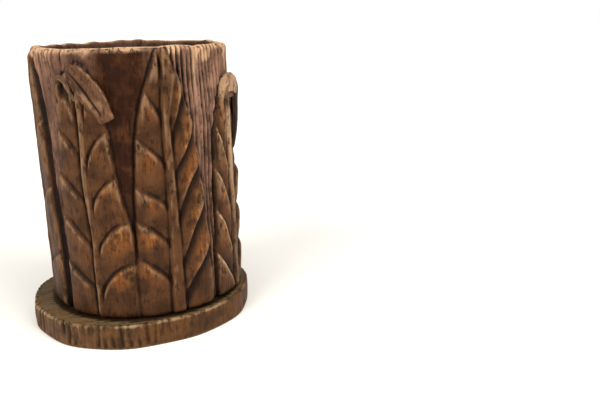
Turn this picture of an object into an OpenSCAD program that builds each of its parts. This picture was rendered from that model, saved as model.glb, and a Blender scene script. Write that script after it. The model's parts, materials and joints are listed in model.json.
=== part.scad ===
// Carved brush pot on a bark-edged base plate.
// A bored wooden wall with leaves carved round it stands on a low plate. A turned plug
// closes the foot of the bore, and screws from below hold the plate to the plug.
// Millimetres, +Z up, origin on the pot's axis at the surface it stands on.
// Leaf angles are in degrees from the front (-Y), positive towards +X.

/* [Pot wall] */
// Height of the rim above the surface it stands on
rim_height = 125; // [105:1:150]
// Radius of the wall between the leaves
ground_radius = 42.5; // [41.5:0.5:44]
// Height of the leaves above the wall
leaf_relief = 2.5; // [1.5:0.5:3.5]
// Radius of the well that the brushes stand in
well_radius = 37.5; // [34:0.5:38]
// Width of the chamfer at the foot
foot_chamfer = 1.5; // [0.5:0.5:3]

/* [Leaves] */
// Half of a leaf's width, as an angle round the wall
leaf_half_angle = 21; // [18:0.5:21.5]
// Distance between one side vein and the next
vein_pitch = 18; // [14:1:24]
// Width of a carved vein
vein_width = 1.4; // [0.8:0.2:2.4]
// Depth of a carved vein
vein_depth = 1.2; // [0.6:0.2:1.6]
// Slope of the side veins from level
vein_slope = 50; // [40:1:60]
// Width of the lip that a curled leaf tip folds into
curl_thickness = 4.6; // [3:0.2:5]
// Height of a curled tip above the leaf
curl_relief = 2.5; // [1.5:0.5:3]

/* [Base plate] */
// Thickness of the base plate
plate_thickness = 11; // [9:0.5:14]
// Length of the base plate along X
plate_length = 102; // [100:1:112]
// Width of the base plate along Y
plate_width = 95; // [94:1:106]
// Depth of the gouge nicks round the plate's bark edge
nick_depth = 0.6; // [0.2:0.1:1]
// Number of gouge nicks round the plate
nick_count = 84; // [48:2:120]

/* [Floor and screws] */
// Thickness of the floor plug
plug_thickness = 9; // [8:0.5:14]
// Gap of glue between the plug and its rebate
glue_gap = 0.1; // [0.05:0.05:0.2]
// Distance from the axis to each screw
screw_circle_radius = 24; // [14:1:30]
// Diameter of a screw over its thread
screw_diameter = 3.5; // [3:0.5:4]
// Diameter of a screw head
screw_head_diameter = 7; // [6:0.5:8]
// Depth of a screw head above the underside
screw_recess = 1; // [0.6:0.2:2]

/* [Hidden] */
$fn = 96;

leaf_radius = ground_radius + leaf_relief;
foot_z = plate_thickness;
rim_chamfer = 1;

// The plug sits in a rebate at the foot of the well and stops against its shoulder.
rebate_radius = well_radius + 1;

// The plate isn't centred under the pot: it reaches further to the left and the front.
plate_shift = [-2.7, -1.4];
plate_edge_step = 0.8;
plate_edge_depth = 1.6;

// Each leaf: its angle, the height of its tip below the rim, and whether the tip curls over.
STRAIGHT = 0;
CURLED = 1;
LEAVES = [
    [-80, 3, STRAIGHT],
    [-30, 7, CURLED],
    [17, 0, STRAIGHT],
    [66, 14, CURLED],
    [119, 3, STRAIGHT],
    [172, 9, CURLED],
    [226, 6, STRAIGHT]
];
OUTLINE_STEPS = 16;
veins_per_side = floor((rim_height - foot_z - 2 * vein_pitch) / vein_pitch);
vein_length = leaf_radius * leaf_half_angle * PI / 180 / cos(vein_slope) - 3;
curl_radius = 11;
curl_height = 24;
curl_shift = 2;

SCREW_ANGLES = [90, 210, 330];
screw_length = plate_thickness + plug_thickness - 4;
thread_pitch = 1.4;
thread_length = 10;

function leaf_half_width(t) = leaf_radius * sin(leaf_half_angle) * (1 - pow(t, 3));

function leaf_outline(height) = concat(
    [for (i = [0 : OUTLINE_STEPS]) [leaf_half_width(i / OUTLINE_STEPS), height * i / OUTLINE_STEPS]],
    [for (i = [OUTLINE_STEPS - 1 : -1 : 0]) [-leaf_half_width(i / OUTLINE_STEPS), height * i / OUTLINE_STEPS]]
);

// An arch with a short left leg and a long pointed right leg.
function curl_outline() = concat(
    [for (turn = [180 : -15 : 0]) curl_radius * [cos(turn), sin(turn)]],
    [[curl_radius, curl_radius - curl_height + 2], [curl_radius - curl_thickness, curl_radius - curl_height + 6]],
    [for (turn = [0 : 15 : 180]) (curl_radius - curl_thickness) * [cos(turn), sin(turn)]]
);

function plate_outline(inset) = [
    for (i = [0 : 2 * nick_count - 1])
        let (
            turn = 180 * i / nick_count,
            nick = (i % 2) * nick_depth + 0.5 * sin(3 * turn) + 0.3 * sin(5 * turn + 40)
        )
        [(plate_length / 2 - inset - nick) * cos(turn), (plate_width / 2 - inset - nick) * sin(turn)]
];

// Turns its children to a leaf's place: x runs round the wall, y is height, z points outwards.
module at_leaf(angle) {
    rotate([0, 0, angle])
        rotate([90, 0, 0])
            children();
}

// A solid of revolution of the given radius from the foot to the rim, with eased edges.
module turned_blank(radius) {
    rotate_extrude()
        polygon([
            [0, foot_z],
            [radius - foot_chamfer, foot_z],
            [radius, foot_z + foot_chamfer],
            [radius, rim_height - rim_chamfer - (radius - ground_radius)],
            [ground_radius - rim_chamfer, rim_height],
            [0, rim_height]
        ]);
}

module leaf_blade(angle, tip_drop) {
    intersection() {
        turned_blank(leaf_radius);
        at_leaf(angle)
            translate([0, foot_z - 1, well_radius])
                linear_extrude(height = leaf_radius)
                    polygon(leaf_outline(rim_height - tip_drop - foot_z + 1));
    }
}

module midrib_cut(angle, tip_drop) {
    at_leaf(angle)
        translate([-vein_width / 2, foot_z - 1, leaf_radius - vein_depth])
            cube([vein_width, rim_height - tip_drop - foot_z - 24, leaf_relief + 2]);
}

// Side veins rise outwards from the midrib on both sides.
module side_vein_cuts(angle) {
    for (row = [0 : veins_per_side - 1])
        for (side = [-1, 1])
            at_leaf(angle + side * leaf_half_angle / 2)
                translate([0, foot_z + 14 + row * vein_pitch, leaf_radius - vein_depth - 0.4])
                    rotate([0, 0, side * vein_slope])
                        translate([-vein_length / 2, -vein_width / 2, 0])
                            cube([vein_length, vein_width, leaf_relief + 2]);
}

// The tip of a curled leaf folds over in an arch that stands out from the wall.
module curled_tip(angle, tip_drop) {
    intersection() {
        translate([0, 0, rim_height - tip_drop - curl_height])
            cylinder(h = curl_height, r = leaf_radius + curl_relief);
        at_leaf(angle)
            translate([curl_shift, rim_height - tip_drop - curl_radius, well_radius])
                linear_extrude(height = leaf_radius)
                    polygon(curl_outline());
    }
}

module pot_body() {
    color("saddlebrown")
    difference() {
        union() {
            turned_blank(ground_radius);
            for (leaf = LEAVES)
                leaf_blade(leaf[0], leaf[1]);
            for (leaf = LEAVES)
                if (leaf[2] == CURLED)
                    curled_tip(leaf[0], leaf[1]);
        }
        for (leaf = LEAVES) {
            midrib_cut(leaf[0], leaf[1]);
            side_vein_cuts(leaf[0]);
        }
        translate([0, 0, foot_z])
            cylinder(h = rim_height, r = well_radius);
        translate([0, 0, foot_z - 1])
            cylinder(h = plug_thickness + 1, r = rebate_radius);
    }
}

module floor_plug() {
    color("sienna")
    difference() {
        translate([0, 0, foot_z])
            cylinder(h = plug_thickness, r = rebate_radius - glue_gap);
        at_screws()
            cylinder(h = screw_length + 0.5, d = screw_diameter);
    }
}

module base_plate() {
    color("darkolivegreen")
    difference() {
        translate(plate_shift)
            union() {
                linear_extrude(height = plate_thickness - plate_edge_depth)
                    polygon(plate_outline(0));
                linear_extrude(height = plate_thickness)
                    polygon(plate_outline(plate_edge_step));
            }
        at_screws() {
            cylinder(h = plate_thickness, d = screw_diameter);
            screw_head();
            translate([0, 0, -screw_recess - 1])
                cylinder(h = screw_recess + 1, d = screw_head_diameter);
        }
    }
}

module at_screws() {
    for (angle = SCREW_ANGLES)
        rotate([0, 0, angle])
            translate([screw_circle_radius, 0, screw_recess])
                children();
}

module screw_head() {
    cylinder(h = (screw_head_diameter - screw_diameter) / 2, d1 = screw_head_diameter, d2 = screw_diameter);
}

module wood_screw() {
    root = screw_diameter / 2 - 0.5;
    crest = screw_diameter / 2;
    turns = floor(thread_length / thread_pitch);
    thread_start = screw_length - thread_length;
    difference() {
        union() {
            screw_head();
            cylinder(h = thread_start, d = screw_diameter);
            rotate_extrude($fn = 48)
                polygon(concat(
                    [[0, thread_start - 0.5], [root, thread_start - 0.5]],
                    [for (i = [0 : turns - 1]) each [
                        [root, thread_start + i * thread_pitch],
                        [crest, thread_start + (i + 0.5) * thread_pitch]
                    ]],
                    [[root, thread_start + turns * thread_pitch], [0, screw_length]]
                ));
        }
        translate([-screw_head_diameter, -0.5, -1])
            cube([2 * screw_head_diameter, 1, 1.8]);
    }
}

module base_screws() {
    color("silver")
    at_screws()
        wood_screw();
}

pot_body();
floor_plug();
base_plate();
base_screws();
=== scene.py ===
"""A brush pot carved with standing leaves, on a bark-edged base plate.

Everything is carved from dark stained hardwood, so each surface is a dense mesh whose height
is worked out from the carver's own measures: leaves, veins, bark and gouge cuts.
Lengths are in millimetres until a mesh is made. Angles are in degrees round the pot, from the
front (-Y) and positive towards +X. A height is measured up from the surface that it stands on.
"""

import json
import math

import bpy
import numpy as np
from mathutils import Matrix, Vector


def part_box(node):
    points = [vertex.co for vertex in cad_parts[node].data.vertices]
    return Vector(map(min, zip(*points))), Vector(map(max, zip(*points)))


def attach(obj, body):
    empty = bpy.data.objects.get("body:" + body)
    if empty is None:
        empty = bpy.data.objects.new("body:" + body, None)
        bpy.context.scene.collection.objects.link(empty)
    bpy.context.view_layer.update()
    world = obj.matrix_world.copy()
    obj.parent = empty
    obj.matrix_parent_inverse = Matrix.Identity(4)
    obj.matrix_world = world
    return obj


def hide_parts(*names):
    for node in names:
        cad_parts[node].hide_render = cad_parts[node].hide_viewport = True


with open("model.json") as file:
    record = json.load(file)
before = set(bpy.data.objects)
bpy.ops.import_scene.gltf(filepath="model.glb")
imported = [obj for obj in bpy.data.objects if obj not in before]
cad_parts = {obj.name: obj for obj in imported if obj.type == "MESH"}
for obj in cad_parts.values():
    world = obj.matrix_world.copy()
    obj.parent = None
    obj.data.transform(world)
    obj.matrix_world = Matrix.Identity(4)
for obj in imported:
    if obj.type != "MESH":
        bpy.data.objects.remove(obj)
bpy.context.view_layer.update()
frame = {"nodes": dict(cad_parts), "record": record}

MM = 0.001
mounts = {m["name"]: m for m in frame["record"]["mounts"]}
pot_low, pot_high = (np.array(corner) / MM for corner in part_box("pot_body"))
plate_low, plate_high = (np.array(corner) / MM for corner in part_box("base_plate"))

RIM = pot_high[2]
FOOT = pot_low[2]
WELL_RADIUS = mounts["brush_well"]["dims"]["r_mm"]
WALL_THICKNESS = 4.8
WALL_RADIUS = WELL_RADIUS + WALL_THICKNESS
# Distances round the wall are measured at this radius, about half way out through the carving.
MEAN_RADIUS = WALL_RADIUS + 1

SCREW_CIRCLE = 24
SCREW_ANGLES = [math.pi, -math.pi / 3, math.pi / 3]
RECESS_RADIUS = 3.6
RECESS_DEPTH = 1.2


# ---------------------------------------------------------------- shaping functions


def ease(low, high, x):
    """0 below low, 1 above high, and a smooth slope between them."""
    t = np.clip((x - low) / (high - low), 0, 1)
    return t * t * (3 - 2 * t)


def notch(distance, width):
    """1 on a cut's centre line, falling to 0 a width or so away."""
    return np.exp(-((distance / width) ** 2))


def lumps(across, along, around, seed):
    """Smooth random lumps from -1 to 1, one to each unit, that meet again after `around` units across."""
    rows = int(np.max(along)) + 3
    table = np.random.default_rng(seed).uniform(-1, 1, (rows, around))
    col, row = np.floor(across).astype(int), np.clip(np.floor(along).astype(int), 0, rows - 2)
    u, v = across - col, np.clip(along - row, 0, 1)
    u, v = u * u * (3 - 2 * u), v * v * (3 - 2 * v)
    left, right = col % around, (col + 1) % around
    low = table[row, left] * (1 - u) + table[row, right] * u
    high = table[row + 1, left] * (1 - u) + table[row + 1, right] * u
    return low * (1 - v) + high * v


def wall_lumps(angle, height, wide, tall, seed):
    """Lumps on the wall, each about `wide` by `tall` millimetres."""
    around = max(3, round(2 * math.pi * MEAN_RADIUS / wide))
    return lumps((angle % 360) / 360 * around, height / tall + 1, around, seed)


def arc_from(angle, middle):
    """Signed distance round the wall from one angle to another."""
    return ((angle - middle + 180) % 360 - 180) * math.pi / 180 * MEAN_RADIUS


def blurred(field, cells):
    """A field averaged over a square of cells, joined up round the pot."""
    for _ in range(2):
        total = sum(np.roll(field, k, axis=1) for k in range(-cells, cells + 1))
        field = total / (2 * cells + 1)
        padded = np.pad(field, ((cells, cells), (0, 0)), mode="edge")
        field = sum(padded[k : k + len(field)] for k in range(2 * cells + 1)) / (2 * cells + 1)
    return field


# ---------------------------------------------------------------- leaves

# The leaves, going round from the left. Of each leaf:
# - foot and tip are its midrib's angle at the foot and at the tip, and top is its tip's height;
# - relief is how far it stands out, and stem is its stem's width at the foot and at the tip;
# - pale is how pale its stem is, worn and partly a painted highlight;
# - blunt is two powers that shape its taper: a higher first or a lower second makes it blunter;
# - arch, for a curled leaf, is the hollow under its fold: how far round from the midrib its middle
#   is, how far its arch's centre is below the tip, how far it reaches down from there, its radius,
#   and its floor's height from the wall.
# Of each half, to the left or the right of the midrib:
# - width is at the foot and near the tip;
# - veins is the height at which the lowest side vein leaves the stem, the distance from one to the
#   next, and the climb to the leaf's edge, and bow is how bowed they are, from straight (0) to a
#   quarter round (1);
# - lap is 1 where each panel stands over the one above, and -1 where it stands over the one below;
# - cut is how deeply its edge and its side of the stem are cut in;
# - lean is how far it leans up towards its edge, and jag is how far its panels' ends stick out;
# - bare is how much stain has worn off it at the foot and at the tip, lips is how pale the edges of
#   its panels are, worn and partly a painted highlight, and painted_shade is how dark the painted
#   shade lies where its panels sink.
LEAVES = [
    dict(
        foot=-79, tip=-79, top=123, relief=1.4, stem=(4, 3), pale=0.1, blunt=(4, 0.7),
        left=dict(
            width=(18, 16), veins=(24, 19, 13), bow=0.4, lap=1, cut=(0.8, 0.6),
            lean=0.3, jag=0.3, bare=(0.2, 0.1), lips=0.15, painted_shade=0.3,
        ),
        right=dict(
            width=(15.5, 11.5), veins=(27, 31, 9), bow=0.3, lap=1, cut=(3.4, 0.3),
            lean=0.3, jag=0.2, bare=(0.2, 0.1), lips=0.2, painted_shade=0.2,
        ),
    ),
    dict(
        foot=-28.5, tip=-31, top=119, relief=2.0, stem=(3.2, 3.4), pale=0.25, blunt=(14, 0.5),
        arch=(-6.4, 8.0, 6, 3.2, -0.4),
        left=dict(
            width=(18, 11.3), veins=(25, 18.3, 14), bow=0.25, lap=1, cut=(0.9, 1.4),
            lean=0.1, jag=0.3, bare=(0.5, 0.1), lips=0.2, painted_shade=0.3,
        ),
        right=dict(
            width=(20, 7.6), veins=(19, 20.3, 16), bow=0.75, lap=1, cut=(0.12, 0.0),
            lean=-0.2, jag=0.3, bare=(1.35, 0.0), lips=0.0, painted_shade=0.25,
        ),
    ),
    dict(
        foot=17, tip=15.5, top=127, relief=2.2, stem=(6.5, 2.6), pale=0.15, blunt=(3, 0.8),
        left=dict(
            width=(16.5, 18), veins=(25, 17.8, 12.5), bow=0.35, lap=1, cut=(0.8, 0.8),
            lean=0.1, jag=0.3, bare=(1.05, 0.3), lips=0.0, painted_shade=0.5,
        ),
        right=dict(
            width=(17.5, 17), veins=(18, 17.3, 23), bow=0.2, lap=-1, cut=(0.5, 0.8),
            lean=0.5, jag=1.3, bare=(1.0, 0.9), lips=0.2, painted_shade=1.0,
        ),
    ),
    dict(
        # Its stem and lips are palest: worn wood, partly a painted highlight.
        foot=67, tip=62, top=109, relief=3.2, stem=(5, 5), pale=0.5, blunt=(8, 0.7),
        # Its long pit under the hook is painted in shade.
        arch=(8.4, 12.4, 28, 5.8, -0.4),
        left=dict(
            width=(16, 9), veins=(10, 19.5, 26), bow=0.15, lap=1, cut=(1.2, 0.8),
            lean=-0.1, jag=0.9, bare=(1.0, 0.8), lips=0.75, painted_shade=1.0,
        ),
        # This half turns from the light and carries full painted shade.
        right=dict(
            width=(18, 15), veins=(14, 19, 18), bow=0.4, lap=1, cut=(0.8, 2.0),
            lean=0.4, jag=0.8, bare=(0.3, 0.0), lips=0.2, painted_shade=1.0,
        ),
    ),
    dict(
        foot=119, tip=117, top=124, relief=2.3, stem=(6, 2.6), pale=0.3, blunt=(3, 0.8),
        left=dict(
            width=(17, 17), veins=(22, 18, 13), bow=0.35, lap=1, cut=(1.4, 0.8),
            lean=0.2, jag=0.4, bare=(1.0, 0.5), lips=0.1, painted_shade=0.7,
        ),
        right=dict(
            width=(17.5, 17), veins=(18, 18, 20), bow=0.3, lap=-1, cut=(0.7, 0.8),
            lean=0.4, jag=1.1, bare=(0.9, 0.8), lips=0.2, painted_shade=0.9,
        ),
    ),
    dict(
        foot=171, tip=173, top=117, relief=2.1, stem=(3.2, 3.6), pale=0.25, blunt=(14, 0.5),
        arch=(-6.1, 7.6, 6, 3.0, -0.4),
        left=dict(
            width=(18, 10), veins=(24, 19, 14), bow=0.3, lap=1, cut=(0.9, 1.3),
            lean=0.2, jag=0.3, bare=(0.6, 0.1), lips=0.25, painted_shade=0.5,
        ),
        right=dict(
            width=(18, 8), veins=(20, 19, 15), bow=0.7, lap=1, cut=(0.4, 0.1),
            lean=-0.2, jag=0.3, bare=(0.8, 0.1), lips=0.05, painted_shade=0.3,
        ),
    ),
    dict(
        foot=226, tip=228, top=121, relief=2.1, stem=(5.5, 2.6), pale=0.3, blunt=(3, 0.8),
        left=dict(
            width=(17.5, 17), veins=(24, 18, 15), bow=0.4, lap=1, cut=(1.0, 0.8),
            lean=0.2, jag=0.4, bare=(0.8, 0.4), lips=0.15, painted_shade=0.6,
        ),
        right=dict(
            width=(17, 17), veins=(19, 18, 17), bow=0.3, lap=-1, cut=(1.2, 0.8),
            lean=0.4, jag=0.9, bare=(0.8, 0.6), lips=0.2, painted_shade=0.8,
        ),
    ),
]

# How rough the bark is between each leaf and the next one round, from smooth (0) to deep (1).
BARK_AFTER_LEAF = [0.3, 0.0, 1.0, 0.9, 0.1, 1.0, 0.6]


def blade(leaf, angle, height):
    """What a leaf does to the wall at each point.

    Gives its height above the wall, where it covers the wall, how deep the cut beside it is, and
    how bare it is, how dark the painted shade lies where it sinks, and how pale it is, partly a
    painted highlight.
    """
    up = np.clip((height - FOOT) / (leaf["top"] - FOOT), 0, 1)
    seed = leaf["foot"] % 360
    middle = leaf["foot"] + (leaf["tip"] - leaf["foot"]) * up
    side = arc_from(angle, middle) + 0.9 * wall_lumps(angle, height, 40, 24, int(seed))
    out = np.abs(side)

    def half(key, n=None):
        """The value that holds on each point's side of the midrib."""
        right, left = leaf["right"][key], leaf["left"][key]
        return np.where(side > 0, right if n is None else right[n], left if n is None else left[n])

    power, bluntness = leaf["blunt"]
    cap = (1 - up**power) ** bluntness
    wide = (half("width", 0) + (half("width", 1) - half("width", 0)) * up**1.2) * cap + 1e-3
    lowest, apart, climb = half("veins", 0), half("veins", 1), half("veins", 2)
    edge_cut, stem_cut = half("cut", 0), half("cut", 1)
    stem_half = (leaf["stem"][0] + (leaf["stem"][1] - leaf["stem"][0]) * up) / 2
    across = np.clip((out - stem_half) / np.maximum(wide - stem_half, 1), 0, 1)

    # A bowed side vein leaves the stem steeply and flattens towards the edge.
    bow = half("bow")
    bent = np.sqrt(np.clip(1 - (1 - across) ** 2, 0, 1))
    rising = bow * bent + (1 - bow) * across
    rising_rate = bow * (1 - across) / np.maximum(bent, 0.15) + 1 - bow
    unlike = 2.2 * wall_lumps(0 * angle, height, 30, 17, int(seed) + 2) * np.where(side > 0, 1, -1)
    wander = 1.1 * wall_lumps(angle, height, 16, 14, int(seed) + 1) + unlike
    row = (height + wander - lowest - climb * rising) / apart
    steepness = climb * rising_rate / (wide + 1)
    squash = apart / np.sqrt(1 + steepness**2)
    part = np.where(row < 0, np.clip(1 + row, 0.35, 1), row - np.floor(row))
    to_vein = np.where(row < 0, -row, np.minimum(part, 1 - part)) * squash

    # A panel sinks towards one of its veins and stands up in a lip at the other.
    climbed = np.where(half("lap") > 0, part, 1 - part)
    rise = ease(-0.15, 1.0, climbed) * ease(-0.5, 1.0, to_vein)
    inside = wide - out + half("jag") * (climbed - 0.5) * ease(0, 1.5, to_vein)
    if "arch" in leaf:
        round_by, down, reach, arch_radius, floor = leaf["arch"]
        aside, above = side - round_by, height - leaf["top"] + down
        from_arch = np.where(above > 0, np.hypot(aside, above), np.abs(aside))
        around_arch = arch_radius + 1 - from_arch - 7 * ease(-0.4 * reach, -reach, above)
        inside = np.maximum(inside, around_arch)
    covers = ease(-0.5, 0.6, inside)

    fall_at_stem = np.minimum(stem_cut, 1) * (1 - ease(0, 0.35, across))
    fall_at_edge = np.minimum(edge_cut, 1) * ease(0.7, 1, across)
    crown = (1 - 0.7 * fall_at_stem) * (1 - 0.75 * fall_at_edge) * (1 + half("lean") * (across - 0.5))
    vein_width = 0.45 + 0.35 * (1 - across)
    vein = notch(to_vein, vein_width) * (0.55 + 0.5 * (1 - across)) * ease(0.3, 2.5, wide - stem_half)
    on_stem = np.clip(1 - (out / stem_half) ** 2, 0, 1)
    stem = ease(0, 0.6, on_stem)
    beside_stem = notch(out - stem_half - 0.2, 0.6)

    relief = leaf["relief"]
    top = relief * (0.52 + 0.6 * rise * crown) - vein - stem_cut * beside_stem
    top = top * (1 - stem) + relief * (0.75 + 0.3 * np.sqrt(on_stem)) * stem
    top -= 0.35 * relief * (1 - ease(0, 2.0, inside)) * (0.3 + 0.5 * edge_cut)
    # Painted shade: darker where each panel sinks towards its vein, and in the veins.
    painted_shade = (1 - ease(0, 0.5, climbed)) * (1 - 0.6 * across * (half("lap") > 0)) * half("painted_shade")
    painted_shade = np.maximum(painted_shade, 0.9 * vein) * (1 - stem)
    if "arch" in leaf:
        # Painted shade fills the pit under the fold.
        fold = notch(from_arch - arch_radius, 1.0) * ease(-22, -4, above)
        pit = ease(arch_radius, arch_radius - 1.6, from_arch) * ease(-reach, -0.3 * reach, above)
        top = (top + 1.2 * fold) * (1 - pit) + floor * pit
        painted_shade = np.maximum(painted_shade * (1 - fold), pit)
        stem = stem * (1 - pit)
    gap = 0.9 + 0.35 * edge_cut**2
    beside = ease(gap, 0.5 * gap, np.maximum(-inside, 0))
    beside *= (height < leaf["top"]) * ease(0.3, 3, wide)
    # Painted shade along the cut beside the leaf's edge.
    painted_shade = np.maximum(painted_shade * covers, beside * ease(1.0, 0.0, inside) * np.minimum(edge_cut / 1.8, 1))
    beside *= np.minimum(edge_cut, 1.5) * (1 - covers)
    high = rise * crown * (1 - stem) * ease(0.05, 0.5, across)
    worn_off = half("bare", 0) + (half("bare", 1) - half("bare", 0)) * up
    high *= worn_off * (0.15 + 0.85 * ease(12, 44, height))
    # Pale lips and stems: worn wood, partly a painted highlight.
    lips = half("lips") * ease(0.72, 0.95, climbed) * ease(0.2, 1.2, to_vein)
    lips = lips * (1 - stem) * ease(0, 1, inside)
    below_tip = ease(leaf["top"] - 8, leaf["top"] - 14, height)
    pale = np.maximum(lips, stem * leaf["pale"] * ease(20, 80, height) * below_tip)
    return top, covers * (height < leaf["top"]), beside, high, painted_shade, pale


def bark(angle, height):
    """Depth of the wavy grooves that stand for bark, from 0 on a ridge to 1 in a groove."""
    wave = 2.0 * wall_lumps(angle, height, 9, 30, 31) + 0.35 * wall_lumps(angle, height, 5, 8, 32)
    around_wall = 2 * math.pi * MEAN_RADIUS
    ridges = 114
    phase = ((angle % 360) / 360 + wave / around_wall) * ridges
    groove = 1 - np.abs(np.sin(math.pi * phase)) ** 1.3
    broken = ease(-0.9, 0.4, wall_lumps(angle, height, 2.6, 26, 33))
    return groove * (0.4 + 0.6 * broken)


def bark_strength(angle):
    """How rough the bark is at each angle, from the gaps between the leaves."""
    fade = 12
    strength = np.zeros(np.shape(angle))
    for leaf, after, following in zip(LEAVES, BARK_AFTER_LEAF, LEAVES[1:] + LEAVES[:1], strict=True):
        gap = (following["foot"] - leaf["foot"]) % 360
        into = (angle - leaf["foot"] + fade) % 360 - fade
        strength += after * ease(-fade, fade, into) * ease(gap + fade, gap - fade, into)
    return strength


def carve_wall(angle, height):
    """Height of the carving all over the outside, and what each point's finish needs."""
    strength = bark_strength(angle)
    near_rim = ease(RIM - 14, RIM - 3, height) * ease(-0.4, 0.3, wall_lumps(angle, height, 12, 9, 43))
    amount = np.clip(strength + 0.8 * near_rim * ease(0.0, 0.2, strength), 0, 1)
    ground = 0.3 * wall_lumps(angle, height, 24, 30, 41) + 0.12 * wall_lumps(angle, height, 4, 12, 42)
    grooves = bark(angle, height)
    ground -= amount * (2.0 - 1.1 * ease(RIM - 4, RIM, height)) * grooves - 0.9 * amount
    ground += 0.16 * wall_lumps(angle, height, 3.2, 22, 49) * (1 - amount)
    ground -= 0.5

    surface = ground.copy()
    leafy, bare, pale = (np.zeros_like(surface) for _ in range(3))
    # Painted shade in the bark's grooves.
    painted_shade = 0.95 * amount * ease(0.15, 0.85, grooves)
    for leaf in LEAVES:
        top, covers, beside, high, leaf_shade, light = blade(leaf, angle, height)
        surface = (surface - beside) * (1 - covers) + np.maximum(top, -1.5) * covers
        leafy = np.maximum(leafy, covers)
        bare = bare * (1 - covers) + high * covers
        painted_shade = np.maximum(painted_shade * (1 - covers), leaf_shade)
        pale = pale * (1 - covers) + light * covers
    for corners, stands, soft, light in FACETS:
        flat = ease(0, soft, depth_inside(angle, height, corners))
        surface = surface * (1 - flat) + stands * flat
        leafy, painted_shade, bare = np.maximum(leafy, flat), painted_shade * (1 - flat), bare * (1 - 0.6 * flat)
        pale = pale * (1 - flat) + light * flat
    # Short strokes of the gouge, mostly upright.
    surface += 0.18 * wall_lumps(angle, height, 1.5, 8, 44) + 0.13 * wall_lumps(angle, height, 2.8, 3.2, 45)
    tone = 0.85 + 0.3 * wall_lumps(angle, height, 3.5, 40, 55)
    barky = np.sqrt(amount) * (1 - leafy) * (0.35 + 0.65 * ease(35, 110, height)) * tone
    return surface, leafy, bare, painted_shade, pale, barky


def depth_inside(angle, height, corners):
    """How far inside a patch each point is.

    The patch's corners, each an angle and a height, go clockwise as seen from outside.
    """
    depth = np.full(np.shape(angle), 1e3)
    middle = sum(corner[0] for corner in corners) / len(corners)
    x, y = arc_from(angle, middle), height
    points = [(arc_from(a, middle), h) for a, h in corners]
    for (ax, ay), (bx, by) in zip(points, points[1:] + points[:1], strict=True):
        length = math.hypot(bx - ax, by - ay)
        depth = np.minimum(depth, ((x - ax) * (by - ay) - (y - ay) * (bx - ax)) / length)
    return depth


# Flat facets folded at the leaves' tips: their corners (angle, height), how far they stand out from
# the wall, the width of their sloping edge, and how pale they are.
FACETS = [
    ([(13.5, 126), (17.5, 126), (23, 114), (19.2, 99), (17, 93)], 2.6, 1.4, 0.15),
    ([(115.5, 124), (119, 124), (125, 111), (121, 97), (118.5, 90)], 2.6, 1.4, 0.15),
    ([(226, 120), (229, 120), (234, 108), (230.5, 95), (228, 90)], 2.5, 1.4, 0.15),
]

# The folds of a curled tip, each swept along a path: distance round the wall from the leaf's tip,
# height above the tip, distance out from the wall, width and thickness. The hem turns over the
# hollow, and the flap hangs down beside it to a blunt end. The hook bends over a wider hollow and
# comes down on its far side.
HEM = [
    (-10.0, -17.0, 0.3, 1.0, 1.2),
    (-9.9, -10.5, 1.1, 1.6, 1.8),
    (-9.0, -6.2, 1.7, 1.8, 2.0),
    (-6.4, -4.5, 2.0, 2.0, 2.2),
    (-3.9, -6.0, 2.0, 2.1, 2.2),
    (-2.4, -9.6, 1.8, 2.0, 2.0),
    (-0.6, -14.0, 1.0, 1.4, 1.4),
]
FLAP = [
    (-3.6, -1.0, 1.2, 2.4, 1.6),
    (-1.2, -1.9, 2.0, 6.0, 2.4),
    (1.8, -4.4, 2.4, 8.8, 2.8),
    (5.0, -8.0, 2.6, 9.8, 2.9),
    (8.2, -12.4, 2.6, 9.4, 2.8),
    (10.9, -17.2, 2.6, 7.8, 2.7),
    (12.9, -21.8, 2.5, 6.2, 2.5),
]
HOOK = [
    (-3.4, -12.0, 0.2, 2.4, 2.2),
    (-2.8, -7.0, 0.7, 4.6, 3.0),
    (-0.6, -2.6, 1.2, 7.4, 3.6),
    (3.4, -0.6, 2.0, 8.4, 4.0),
    (7.8, -1.0, 2.8, 8.0, 4.2),
    (11.8, -4.0, 3.1, 6.2, 4.0),
    (14.4, -9.0, 3.0, 4.8, 3.6),
    (15.6, -16.0, 2.8, 4.4, 3.4),
    (15.9, -24.0, 2.4, 3.8, 3.0),
    (15.4, -33.0, 1.2, 2.6, 2.2),
]
# Each fold: its leaf's place in the list, its path, its size, how pale it is, worn and partly a
# painted highlight, how deeply it is creased and slanted, with painted shade in the crease and on
# its slanted side, and how dark the painted shade lies inside its bend.
FOLDS = [
    (1, HEM, 1.0, 0.2, 0.0, 0),
    (1, FLAP, 1.0, 0.12, 0.5, 0),
    (3, HOOK, 1.0, 0.45, 0.05, 1),
    (5, HEM, 0.95, 0.2, 0.0, 0),
    (5, FLAP, 0.95, 0.12, 0.5, 0),
]


# ---------------------------------------------------------------- meshes


def grid_mesh(name, points, material, slot_name, closed_ends=True, **fields):
    """A skin over rows of points that each run once round the object, with its finish's fields."""
    rows, columns = points.shape[:2]
    vertices = points.reshape(-1, 3) * MM
    index = np.arange(rows * columns).reshape(rows, columns)
    right = np.roll(index, -1, axis=1)
    quads = np.stack([index[:-1], right[:-1], right[1:], index[1:]], axis=-1).reshape(-1, 4)
    mesh = bpy.data.meshes.new(name)
    faces = quads.tolist()
    if closed_ends:
        faces += [index[0][::-1].tolist(), index[-1].tolist()]
    mesh.from_pydata(vertices.tolist(), [], faces)
    mesh.polygons.foreach_set("use_smooth", [True] * len(mesh.polygons))
    for key, values in fields.items():
        layer = mesh.attributes.new(key, "FLOAT", "POINT")
        everywhere = np.broadcast_to(np.clip(values, 0, 1), (rows, columns))
        layer.data.foreach_set("value", everywhere.astype(np.float32).ravel())
    mesh.materials.append(material)
    mesh.validate()
    piece = bpy.data.objects.new(name, mesh)
    bpy.context.scene.collection.objects.link(piece)
    return piece


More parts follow.
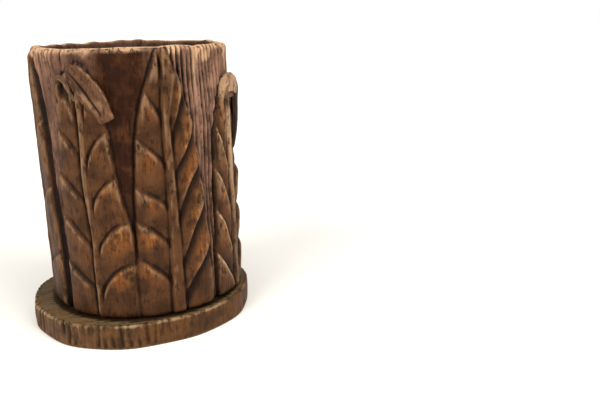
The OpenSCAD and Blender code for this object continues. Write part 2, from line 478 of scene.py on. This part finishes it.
def around(angle, radius, height):
    """Points at the given angles, distances from the axis and heights."""
    turn = np.radians(angle)
    return np.stack([radius * np.sin(turn), -radius * np.cos(turn), height + 0 * radius], axis=-1)


def relief_fields(surface, fine, broad):
    """Where a carved surface is hollow, for pooled stain and painted shade, and where hands have worn it,
    from its height.
    """
    small = surface - blurred(surface, fine)
    large = surface - blurred(surface, broad)
    # Darker in the cuts: stain pooled there, with painted shade.
    hollow = ease(0.08, 0.7, -small) * 0.75 + ease(0.15, 1.4, -large) * 0.55
    worn = ease(0.02, 0.5, small) * 0.6 + ease(0.1, 1.1, large) * 0.5
    return hollow, worn


def make_pot_wall(material):
    """The carved outside, the uneven rim and the bored well, as one open-ended skin."""
    columns, rows = 600, 150
    angles = np.linspace(-180, 180, columns, endpoint=False)
    heights = np.linspace(FOOT, RIM, rows)
    angle, height = np.meshgrid(angles, heights)
    surface, leafy, bare, painted_shade, pale, barky = carve_wall(angle, height)
    surface[1:-1] = surface[1:-1] / 2 + (surface[:-2] + surface[2:]) / 4
    soft = surface / 2 + (np.roll(surface, 1, axis=1) + np.roll(surface, -1, axis=1)) / 4
    surface = surface * (1 - leafy) + soft * leafy

    rim_round, foot_round = 2.2, 3.5
    rim_wave = 0.45 * wall_lumps(angles, 0 * angles, 26, 10, 51)
    rim_wave = rim_wave + (0.15 + 0.35 * bark_strength(angles)) * wall_lumps(angles, 0 * angles, 5, 10, 52)
    lift = rim_wave * ease(RIM - 14, RIM, height)
    ease_rim = 0.9 * (1 - np.sqrt(np.clip(1 - ease(RIM - rim_round, RIM, height) ** 2, 0, 1)))
    ease_foot = 1.6 * (1 - ease(FOOT, FOOT + foot_round, height)) ** 2
    radius = WALL_RADIUS + surface - ease_rim - ease_foot
    outside = around(angle, radius, height + lift)

    # Over the rim and down the well: each row's share of the way in, and how far it is below the rim.
    over_rim = [(0.12, -0.25), (0.4, -0.35), (0.7, -0.3), (0.9, -0.1), (1, 0.5), (1, 1.6)]
    down_well = [(1, drop) for drop in (4, 9, 18, 36, 60, 84, RIM - FOOT)]
    inner = WELL_RADIUS + 0.25 * wall_lumps(angles, 0 * angles, 7, 10, 53)
    rim_rows = []
    for share, drop in over_rim + down_well:
        gouge = 0.2 * wall_lumps(angles, 0 * angles + drop / 9, 6, 1, 54)
        way = radius[-1] * (1 - share) + (inner + gouge) * share
        rim_rows.append(around(angles, way, RIM - drop + rim_wave * (1 - 0.5 * ease(0, 10, drop))))
    points = np.concatenate([outside, np.array(rim_rows)])

    hollow, worn = relief_fields(surface, 2, 9)
    # Painted shade: darker towards the foot, darkest at the seam over the plate.
    hollow = np.maximum(hollow, 0.75 * painted_shade) + 0.3 * ease(50, FOOT, height)
    foot_shade = ease(FOOT + 2.2, FOOT, height)
    # Dry, pale wood shows in a ragged band under the rim, on its edge and on the bark's ridges.
    ragged = RIM - 1.2 - 2.6 * ease(0, 0.6, bark_strength(angle))
    ragged = ragged + 3 * wall_lumps(angle, height, 5, 60, 46) + 2 * wall_lumps(angle, height, 1.8, 60, 47)
    patchy = 0.5 + 0.5 * ease(-0.5, 0.5, wall_lumps(angle, height, 9, 9, 48))
    rim_band = ease(ragged - 1.5, ragged + 2.5, height) * patchy
    dry_ridge = 0.5 * ease(-0.1, 0.9, wall_lumps(angle, height, 3, 30, 56)) * ease(0.4, 1, barky) * (1 - painted_shade)
    rim_edge = (0.42 + 0.2 * wall_lumps(angle, height, 7, 9, 57)) * ease(RIM - 2.4, RIM - 0.8, height)
    rim_band = np.maximum(rim_band * (0.2 + 0.8 * barky**2), rim_edge)
    # The leaves' pale stems and lips join it, partly a painted highlight.
    dry = np.maximum(np.maximum(rim_band, dry_ridge), pale)
    bare_rim = np.array([1, 1, 0.9, 0.7, 0.5, 0.4] + [0.1] * len(down_well))[:, None]
    # Painted shade over the rim's inner edge and down the bored well.
    hollow_well = np.array([0, 0, 0.1, 0.2, 0.4, 0.5] + [0.5] * len(down_well))[:, None]

    def and_inside(outside_field, inside_field):
        """A field of the outside, followed by its values over the rim and down the well."""
        return np.concatenate([outside_field, np.broadcast_to(inside_field, (len(rim_rows), columns))])

    return grid_mesh(
        "carved_pot_wall", points, material, "stained_carved_wood", closed_ends=False,
        hollow=and_inside(np.maximum(hollow, foot_shade), hollow_well),
        worn=and_inside(worn, 0.6 * bare_rim),
        leafy=and_inside(leafy, 0),
        barky=and_inside(barky, 0.5),
        bare=and_inside(bare, 0),
        dry=and_inside(dry, bare_rim**3),
    )


def smooth_path(points, steps):
    """Points on a smooth curve through the given ones (a Catmull-Rom spline)."""
    p = np.array(points, float)
    p = np.concatenate([[2 * p[0] - p[1]], p, [2 * p[-1] - p[-2]]])
    t = np.linspace(0, 1, steps, endpoint=False)[:, None]
    parts = []
    for a, b, c, d in zip(p, p[1:], p[2:], p[3:], strict=False):
        squared = (2 * a - 5 * b + 4 * c - d) * t**2
        cubed = (3 * b - a - 3 * c + d) * t**3
        parts.append(0.5 * (2 * b + (c - a) * t + squared + cubed))
    return np.concatenate([*parts, p[-2:-1]])


def make_curled_tip(name, leaf, fold, size, pale, creased, shade, material):
    """A leaf's tip, folded over: thick wood swept along the fold, as FOLDS says."""
    path = smooth_path(fold, 12)
    along = path[:, 0] * size
    angle = leaf["tip"] + np.degrees(along / MEAN_RADIUS)
    height = leaf["top"] + path[:, 1] * size
    radius = WALL_RADIUS + path[:, 2]
    centre = around(angle, radius, height)
    turn = np.radians(angle)
    outward = np.stack([np.sin(turn), -np.cos(turn), 0 * turn], axis=-1)
    forward = np.gradient(centre, axis=0)
    sideways = np.cross(forward, outward)
    sideways /= np.linalg.norm(sideways, axis=1)[:, None]

    share = np.linspace(0, 1, len(path))[:, None]
    close = np.clip(1 - (2 * share - 1) ** 50, 0, 1) ** 0.5 * 0.98 + 0.02
    ring = np.linspace(0, 2 * math.pi, 72, endpoint=False)[None, :]
    across = np.sign(np.cos(ring)) * np.abs(np.cos(ring)) ** 0.75
    out = np.sign(np.sin(ring)) * np.abs(np.sin(ring)) ** 0.8
    face = np.clip(out, 0, 1) ** 0.5
    seed = int(leaf["foot"] % 360)
    rough = lumps(ring / (2 * math.pi) * 14, share * 16, 14, seed + 5)
    streak = lumps(ring / (2 * math.pi) * 26, share * 3, 26, seed + 6)
    # A deep crease and a faint one run down it, and past the deep one it is thinner.
    crease = notch(across - 0.05 - 0.3 * share, 0.12) + 0.25 * notch(across + 0.5 - 0.2 * share, 0.1)
    crease = creased * crease * face * ease(0.1, 0.3, share) * ease(1.0, 0.75, share)
    uneven = lumps(0 * ring + 0.5, share * 7 + 0 * ring, 2, seed + 7)
    swell = 1 + 0.08 * rough + 0.05 * streak + 0.12 * uneven
    slant = 1 - 0.5 * creased * ease(0.0, 0.5, across)
    half_wide = path[:, 3][:, None] * size * close / 2 * across * swell
    half_thick = path[:, 4][:, None] * close / 2 * (out * swell * slant - crease)
    spread = sideways[:, None] * half_wide[..., None]
    points = centre[:, None] + spread + outward[:, None] * half_thick[..., None]
    outer = ease(-0.2, 0.7, out)
    worn = outer * (0.15 + 0.5 * rough + 0.4 * streak + 0.35 * ease(-0.4, -0.9, across)) + 0.3 * share
    # Painted shade on the underside, in the creases, on the slanted side and inside the hook's bend.
    hollow = 1.0 - 1.25 * ease(-0.9, 0.4, out) + 2.6 * crease + 0.35 * creased * ease(0.1, 0.6, across)
    hollow = hollow + 0.25 * ease(-0.4, 0.7, -rough)
    hollow = hollow + shade * ease(0.48, 0.58, share) * ease(-0.8, -0.2, across)
    return grid_mesh(
        name, points[:, ::-1], material, "stained_carved_wood",
        hollow=hollow[:, ::-1], worn=worn[:, ::-1], leafy=1, barky=pale, bare=0.2,
        dry=pale * ease(-1.0, 0.1, out)[:, ::-1],
    )


def make_base_plate(material):
    """The low slab: hatched on top, gouged with short upright nicks round its edge."""
    columns = 640
    nick_count = 92
    angles = np.linspace(-180, 180, columns, endpoint=False)
    turn = np.radians(angles)
    centre = (plate_low + plate_high) / 2
    half = (plate_high - plate_low) / 2 - np.array([0.4, 0.4, 0])
    thick = plate_high[2]
    edge_round = 0.9

    # Profile from the middle of the underside, out, up the edge and in over the top: inset and height.
    side = [(0.5, 0), (0.12, 0.15), (0, 0.5)] + [(0, h) for h in np.linspace(1, thick - edge_round, 15)]
    corner = [
        (edge_round * (1 - math.cos(a)), thick - edge_round * (1 - math.sin(a)))
        for a in np.linspace(0.3, math.pi / 2, 6)
    ]
    top = [(inset, thick) for inset in [*np.arange(1.4, 14, 0.55), 18, 24, 30, 36, 42, 45]]
    under = [(45, 0), *((inset, 0) for inset in np.arange(36, 14, -0.6)), (9, 0), (5, 0)]
    profile = under + side + corner + top
    inset = np.array([p[0] for p in profile])[:, None]
    height = np.array([p[1] for p in profile])[:, None] + 0 * angles[None, :]
    angle = angles[None, :] + 0 * inset

    wobble = 0.5 * np.sin(3 * turn) + 0.3 * np.sin(5 * turn + 0.7) + 0.25 * np.sin(11 * turn)
    phase = (angle % 360) / 360 * nick_count + 0.22 * lumps((angle % 360) / 360 * 60, height / 6 + 1, 60, 61)
    cut = 1 - np.abs(np.sin(math.pi * phase)) ** 1.2
    keep = ease(-0.6, 0.35, lumps((angle % 360) / 360 * 110, height / 9 + 1, 110, 62))
    strong = 0.4 + 0.6 * ease(-0.1, 0.8, np.cos(np.radians(angle + 62)))
    on_side = ease(0.2, 1.2, height) * (inset < 1.2)
    nicks = 0.75 * cut * keep * strong * on_side
    chips = 0.35 * ease(0.15, 0.9, lumps((angle % 360) / 360 * 70, height / 3 + 1, 70, 63)) * on_side
    bulge = 0.25 * np.sin(math.pi * height / thick) * (inset < 1.2)

    depth = inset + wobble[None, :] + nicks + chips - bulge
    x = (half[0] - depth) * np.sin(turn)[None, :] + centre[0]
    y = -(half[1] - depth) * np.cos(turn)[None, :] + centre[1]

    # Saw and gouge lines lie across the top.
    line_apart = 2.5
    on_top = (inset > 0.3) * (height > thick / 2)
    line = (y + 0.05 * x + 0.5 * lumps(x / 14 + 40, y / 10 + 10, 80, 64)) / line_apart
    broken = ease(-0.7, 0.3, lumps(x / 9 + 40, y / 2.4 + 40, 80, 65))
    hatch = (1 - np.abs(np.sin(math.pi * line)) ** 0.6) * broken
    grain = lumps(x / 6 + 40, y / 0.9 + 90, 80, 66)
    height = height - on_top * (0.28 * hatch + 0.05 * grain) * ease(0, 1.5, inset)

    # Each screw's head sits in a round recess in the underside.
    for turned in SCREW_ANGLES:
        from_screw = np.hypot(x - SCREW_CIRCLE * math.sin(turned), y + SCREW_CIRCLE * math.cos(turned))
        in_recess = ease(RECESS_RADIUS + 0.6, RECESS_RADIUS, from_screw) * (height < 0.05) * (inset > 2)
        height = height + RECESS_DEPTH * in_recess

    at_corner = notch(np.maximum(thick - height, inset) - 0.5, 0.8)
    hollow = np.clip(1.05 * nicks + 0.5 * chips + on_top * 0.6 * hatch, 0, 1)
    # Painted shadow on the plate's top round the pot's foot.
    pot_shadow = on_top * ease(WALL_RADIUS + 4, WALL_RADIUS + 0.5, np.hypot(x, y))
    worn = at_corner * (0.55 + 0.6 * lumps((angle % 360) / 360 * 48, 0 * height, 48, 67))
    # The nicks' ridges are palest on the left front: bloom, partly a painted highlight.
    worn = worn + 0.5 * on_side * (1 - cut) ** 2 * strong**2 + 0.1 * on_top * (1 - hatch)
    points = np.stack([x, y, height], axis=-1)
    # The plate's edge takes its stain's blade and bark colours, and its top the plain one.
    return grid_mesh(
        "bark_edged_base_plate", points, material, "stained_base_wood",
        hollow=hollow + pot_shadow, worn=worn, leafy=on_side, barky=strong * on_side, bare=0.5,
        dry=0.5 * at_corner * ease(-0.2, 0.6, lumps((angle % 360) / 360 * 40, 0 * height, 40, 68)),
    )


# ---------------------------------------------------------------- materials


def linear(code):
    """A colour written as sRGB hex, turned to the linear values that the shader takes."""
    parts = [int(code[k : k + 2], 16) / 255 for k in (1, 3, 5)]
    return [p / 12.92 if p <= 0.04045 else ((p + 0.055) / 1.055) ** 2.4 for p in parts] + [1]


def add(tree, kind, settings=None, **links):
    """Adds a node with its settings.

    Each link is named for an input, or for i and the input's number, and is a node, a socket or a
    value.
    """
    node = tree.nodes.new(kind)
    for key, value in (settings or {}).items():
        setattr(node, key, value)
    for key, value in links.items():
        numbered = key[0] == "i" and key[1:].isdigit()
        socket = node.inputs[int(key[1:])] if numbered else node.inputs[key.replace("_", " ")]
        if isinstance(value, bpy.types.Node):
            value = next(output for output in value.outputs if output.enabled)
        if isinstance(value, bpy.types.NodeSocket):
            tree.links.new(value, socket)
        else:
            socket.default_value = value
    return node


def new_material(name):
    """An empty material and its node tree."""
    material = bpy.data.materials.new(name)
    material.use_nodes = True
    tree = material.node_tree
    tree.nodes.clear()
    return material, tree


# How far the blotches are moved across the pot, in metres, to lay the worn ones on the front leaves.
BLOTCH_SHIFT = (0.02, 0.05, 0)

# What a carved surface's mesh says of each point: how dark its hollows are, with pooled stain
# and painted shade, how worn by hands it is, how much it is leaf and how much bark, how far the
# stain has come off, and how dry and pale the wood is, partly a painted highlight.
FIELDS = ["hollow", "worn", "leafy", "barky", "bare", "dry"]

# The masks worked out from a field or a noise: the values of it that the mask rises between.
MASKS = [
    ("dark_blotch", "blotch", 0.6, 0.35),
    ("light_blotch", "blotch", 0.42, 0.6),
    ("fleck", "fleck", 0.5, 0.66),
    ("bloom_fleck", "fleck", 0.28, 0.6),
    ("dry_fleck", "fleck", 0.3, 0.5),
    ("dark_fleck", "fleck", 0.5, 0.32),
    ("streak", "grain", 0.5, 0.78),
    ("bare", "bare", 0.15, 0.75),
    ("bare_blotch", "bare", 0.35, 0.9),
    ("worn", "worn", 0.25, 1.0),
    ("dry", "dry", 0.1, 0.8),
    ("hollow", "hollow", 0.05, 0.85),
]

# The coats that stained wood shows, one over another. Each has its colour's name in the stain, its
# strength, and the two masks that it shows through.
COATS = [
    ("blade", 0.35, "light_blotch", "bloom_fleck"),
    ("blade", 1.0, "leafy", "all"),
    ("bark", 0.9, "barky", "all"),
    ("dark", 0.5, "dark_blotch", "all"),
    ("orange", 0.72, "light_blotch", "bare"),
    ("ochre", 0.6, "fleck", "bare_blotch"),
    ("bloom", 0.42, "worn", "bloom_fleck"),
    # The dry coat carries the pale stems and lips too, partly a painted highlight.
    ("dry", 0.9, "dry", "dry_fleck"),
    ("dark", 0.55, "dark_fleck", "all"),
    ("dark", 0.5, "streak", "all"),
    # The darkest coat lies in the hollows: pooled stain with painted shade.
    ("dark", 0.9, "hollow", "all"),
]


def stained_wood(name, stain):
    """Carved hardwood, dipped in dark stain and waxed.

    The cuts are darkest, with stain pooled in them and painted shade. Handling has taken the
    stain off the high spots, where the wood shows orange and ochre, and wax and dust leave a pale
    bloom on the edges.
    """
    material, tree = new_material(name)
    place = add(tree, "ShaderNodeTexCoord").outputs["Object"]
    sources = {}
    for field in FIELDS:
        sources[field] = add(tree, "ShaderNodeAttribute", {"attribute_name": field}).outputs["Fac"]

    # Grain runs up the block: streaks about 0.7 mm wide and 9 mm long.
    stretched = add(tree, "ShaderNodeMapping", i0=place, i3=(1 / 0.7, 1 / 0.7, 1 / 9)).outputs[0]
    along_grain = add(tree, "ShaderNodeVectorMath", {"operation": "SCALE"}, i0=stretched, Scale=1 / MM)
    grain = add(tree, "ShaderNodeTexNoise", i0=along_grain, Scale=1, Detail=3, Roughness=0.6).outputs[0]
    # Blotches about 9 mm across where the stain took unevenly, and flecks of about 2 mm.
    moved = add(tree, "ShaderNodeMapping", i0=place, i1=BLOTCH_SHIFT).outputs[0]
    blotch = add(
        tree, "ShaderNodeTexNoise", i0=moved, Scale=1 / (9 * MM), Detail=3, Roughness=0.55
    ).outputs[0]
    long_way = add(tree, "ShaderNodeMapping", i0=place, i3=(1, 1, 0.4)).outputs[0]
    fleck = add(
        tree, "ShaderNodeTexNoise", i0=long_way, Scale=1 / (1.8 * MM), Detail=4, Roughness=0.65
    ).outputs[0]
    sources.update(grain=grain, blotch=blotch, fleck=fleck)

    masks = {"all": 1.0, "leafy": sources["leafy"], "barky": sources["barky"]}
    for mask, source, low, high in MASKS:
        masks[mask] = add(
            tree, "ShaderNodeMapRange", {"interpolation_type": "SMOOTHSTEP"},
            Value=sources[source], From_Min=low, From_Max=high,
        )
    colour = linear(stain["plain"])
    for coat, strength, first, second in COATS:
        shows = add(tree, "ShaderNodeMath", {"operation": "MULTIPLY"}, i0=masks[first], i1=masks[second])
        shows = add(
            tree, "ShaderNodeMath", {"operation": "MULTIPLY", "use_clamp": True}, i0=shows, i1=strength
        )
        coat_colour = linear(stain[coat])
        colour = add(tree, "ShaderNodeMix", {"data_type": "RGBA"}, i0=shows, i6=colour, i7=coat_colour)

    # Wax fills the pores unevenly, and the bump is the grain with the tool's small marks.
    rough = add(tree, "ShaderNodeMapRange", Value=fleck, From_Min=0.3, From_Max=0.7, To_Min=0.42, To_Max=0.58)
    strokes = add(tree, "ShaderNodeMath", {"operation": "ADD"}, i0=grain, i1=fleck)
    bump = add(tree, "ShaderNodeBump", Height=strokes, Distance=0.4 * MM, Strength=0.9)
    shader = add(
        tree, "ShaderNodeBsdfPrincipled",
        Base_Color=colour, Roughness=rough, Normal=bump, Specular_IOR_Level=0.1,
    )
    add(tree, "ShaderNodeOutputMaterial", Surface=shader)
    return material


# The colour of each coat. The plate's stain is greyer with dust on top than the pot's.
POT_STAIN = dict(
    plain="#381a07", blade="#57371f", bark="#a57c67", orange="#79451d",
    ochre="#a0722c", bloom="#a58362", dry="#d3aa82", dark="#100501",
)
PLATE_STAIN = dict(
    plain="#7a6647", blade="#53331a", bark="#5f4127", orange="#5a3719",
    ochre="#6e5634", bloom="#a08663", dry="#a88a66", dark="#160c04",
)


def turned_wood():
    """Plain hardwood off the lathe, stained: fine rings about 1.2 mm apart catch the light."""
    material, tree = new_material("stained_turned_hardwood")
    place = add(tree, "ShaderNodeTexCoord").outputs["Object"]
    # At a scale of 1, the wave node's rings are 2 pi / 20 apart.
    ring_apart = 1.2 * MM
    rings = add(
        tree, "ShaderNodeTexWave", {"wave_type": "RINGS", "rings_direction": "Z"},
        i0=place, Scale=2 * math.pi / 20 / ring_apart, Distortion=0.6, Detail=2,
    ).outputs["Fac"]
    blotch = add(tree, "ShaderNodeTexNoise", i0=place, Scale=1 / (8 * MM), Detail=4).outputs[0]
    dark, light, ring_brown = linear("#3a2517"), linear("#5c4030"), linear("#4a3020")
    colour = add(tree, "ShaderNodeMix", {"data_type": "RGBA"}, i0=blotch, i6=dark, i7=light)
    colour = add(tree, "ShaderNodeMix", {"data_type": "RGBA"}, i0=rings, i6=colour, i7=ring_brown)
    bump = add(tree, "ShaderNodeBump", Height=rings, Distance=0.1 * MM)
    shader = add(tree, "ShaderNodeBsdfPrincipled", Base_Color=colour, Roughness=0.6, Normal=bump)
    add(tree, "ShaderNodeOutputMaterial", Surface=shader)
    return material


def plated_steel():
    """Zinc-plated steel: pale grey, with a soft sparkle from the plating."""
    material, tree = new_material("zinc_plated_steel")
    place = add(tree, "ShaderNodeTexCoord").outputs["Object"]
    sparkle = add(tree, "ShaderNodeTexVoronoi", i0=place, Scale=1 / (0.6 * MM)).outputs["Color"]
    grey = add(tree, "ShaderNodeMix", {"data_type": "RGBA"}, i0=0.25, i6=linear("#b4b6b8"), i7=sparkle)
    plain = add(tree, "ShaderNodeHueSaturation", Saturation=0.05, Color=grey)
    worn = add(tree, "ShaderNodeTexNoise", i0=place, Scale=1 / (1.5 * MM), Detail=3).outputs[0]
    rough = add(tree, "ShaderNodeMapRange", Value=worn, To_Min=0.28, To_Max=0.5)
    shader = add(tree, "ShaderNodeBsdfPrincipled", Base_Color=plain, Roughness=rough, Metallic=1.0)
    add(tree, "ShaderNodeOutputMaterial", Surface=shader)
    return material


# ---------------------------------------------------------------- camera, light and floor


# The camera's lens and place, and how far it turns right, looks down and rolls, in degrees.
LENS = 40.2
EYE = (0, -317.3, 138.1)
TURN_RIGHT = 13.7
LOOK_DOWN = 15.7
ROLL = -0.9

# Each lamp's name, its azimuth from the front, its elevation and its strength. All are soft: they
# spread over LAMP_WIDTH degrees.
LAMPS = [
    ("left", -52, 32, 2.3),
    ("right", 46, 38, 2.0),
    ("above", 10, 76, 1.1),
]
LAMP_WIDTH = 40
WARM_WHITE = (1, 0.975, 0.94)


def set_the_stage():
    """The camera at eye height in front, a white floor and room, and soft lamps."""
    scene = bpy.context.scene
    camera = bpy.data.objects.new("camera", bpy.data.cameras.new("camera"))
    camera.data.lens = LENS
    camera.matrix_world = (
        Matrix.Translation(Vector(EYE) * MM)
        @ Matrix.Rotation(-math.radians(TURN_RIGHT), 4, "Z")
        @ Matrix.Rotation(math.pi / 2 - math.radians(LOOK_DOWN), 4, "X")
        @ Matrix.Rotation(math.radians(ROLL), 4, "Z")
    )
    scene.collection.objects.link(camera)
    scene.camera = camera
    scene.view_settings.view_transform = "Standard"

    # Matt white paper: pale, with hardly any gloss.
    paper = bpy.data.materials.new("white_paper_sweep")
    paper.use_nodes = True
    shader = paper.node_tree.nodes["Principled BSDF"]
    shader.inputs["Base Color"].default_value = linear("#f7f5ef")
    shader.inputs["Roughness"].default_value = 0.9
    floor = bpy.data.meshes.new("floor")
    side = 4
    corners = [(-side, -side, 0), (side, -side, 0), (side, side, 0), (-side, side, 0)]
    floor.from_pydata(corners, [], [(0, 1, 2, 3)])
    floor.materials.append(paper)
    floor_piece = bpy.data.objects.new("floor", floor)
    scene.collection.objects.link(floor_piece)

    # The room is a white sweep to look at, but gives only a soft fill light.
    world = bpy.data.worlds.new("white_studio")
    world.use_nodes = True
    tree = world.node_tree
    tree.nodes.clear()
    seen = add(tree, "ShaderNodeLightPath").outputs["Is Camera Ray"]
    strength = add(tree, "ShaderNodeMapRange", Value=seen, To_Min=0.35, To_Max=1.0)
    background = add(tree, "ShaderNodeBackground", Color=(1, 1, 1, 1), Strength=strength)
    add(tree, "ShaderNodeOutputWorld", Surface=background)
    scene.world = world

    for name, azimuth, elevation, strength in LAMPS:
        lamp = bpy.data.lights.new(name, "SUN")
        lamp.angle = math.radians(LAMP_WIDTH)
        lamp.energy = strength
        lamp.color = WARM_WHITE
        light = bpy.data.objects.new(name, lamp)
        turn, lift = math.radians(azimuth), math.radians(elevation)
        towards = Vector((math.sin(turn) * math.cos(lift), -math.cos(turn) * math.cos(lift), math.sin(lift)))
        light.rotation_mode = "QUATERNION"
        light.rotation_quaternion = towards.to_track_quat("Z", "Y")
        scene.collection.objects.link(light)


set_the_stage()
pot_wood = stained_wood("dark_stained_carved_hardwood", POT_STAIN)
plate_wood = stained_wood("dark_stained_sawn_hardwood", PLATE_STAIN)

wall = make_pot_wall(pot_wood)
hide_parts("pot_body")
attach(wall, "root")

for count, (number, fold, size, pale, creased, shade) in enumerate(FOLDS, 1):
    name = f"curled_leaf_fold_{count}"
    curl = make_curled_tip(name, LEAVES[number], fold, size, pale, creased, shade, pot_wood)
    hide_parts("pot_body")
    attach(curl, "root")

plate = make_base_plate(plate_wood)
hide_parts("base_plate")
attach(plate, "root")

# The plug and the screws keep their CAD meshes.
for node_name, finish in [("floor_plug", turned_wood()), ("base_screws", plated_steel())]:
    cad_mesh = frame["nodes"][node_name].data
    cad_mesh.materials.clear()
    cad_mesh.materials.append(finish)
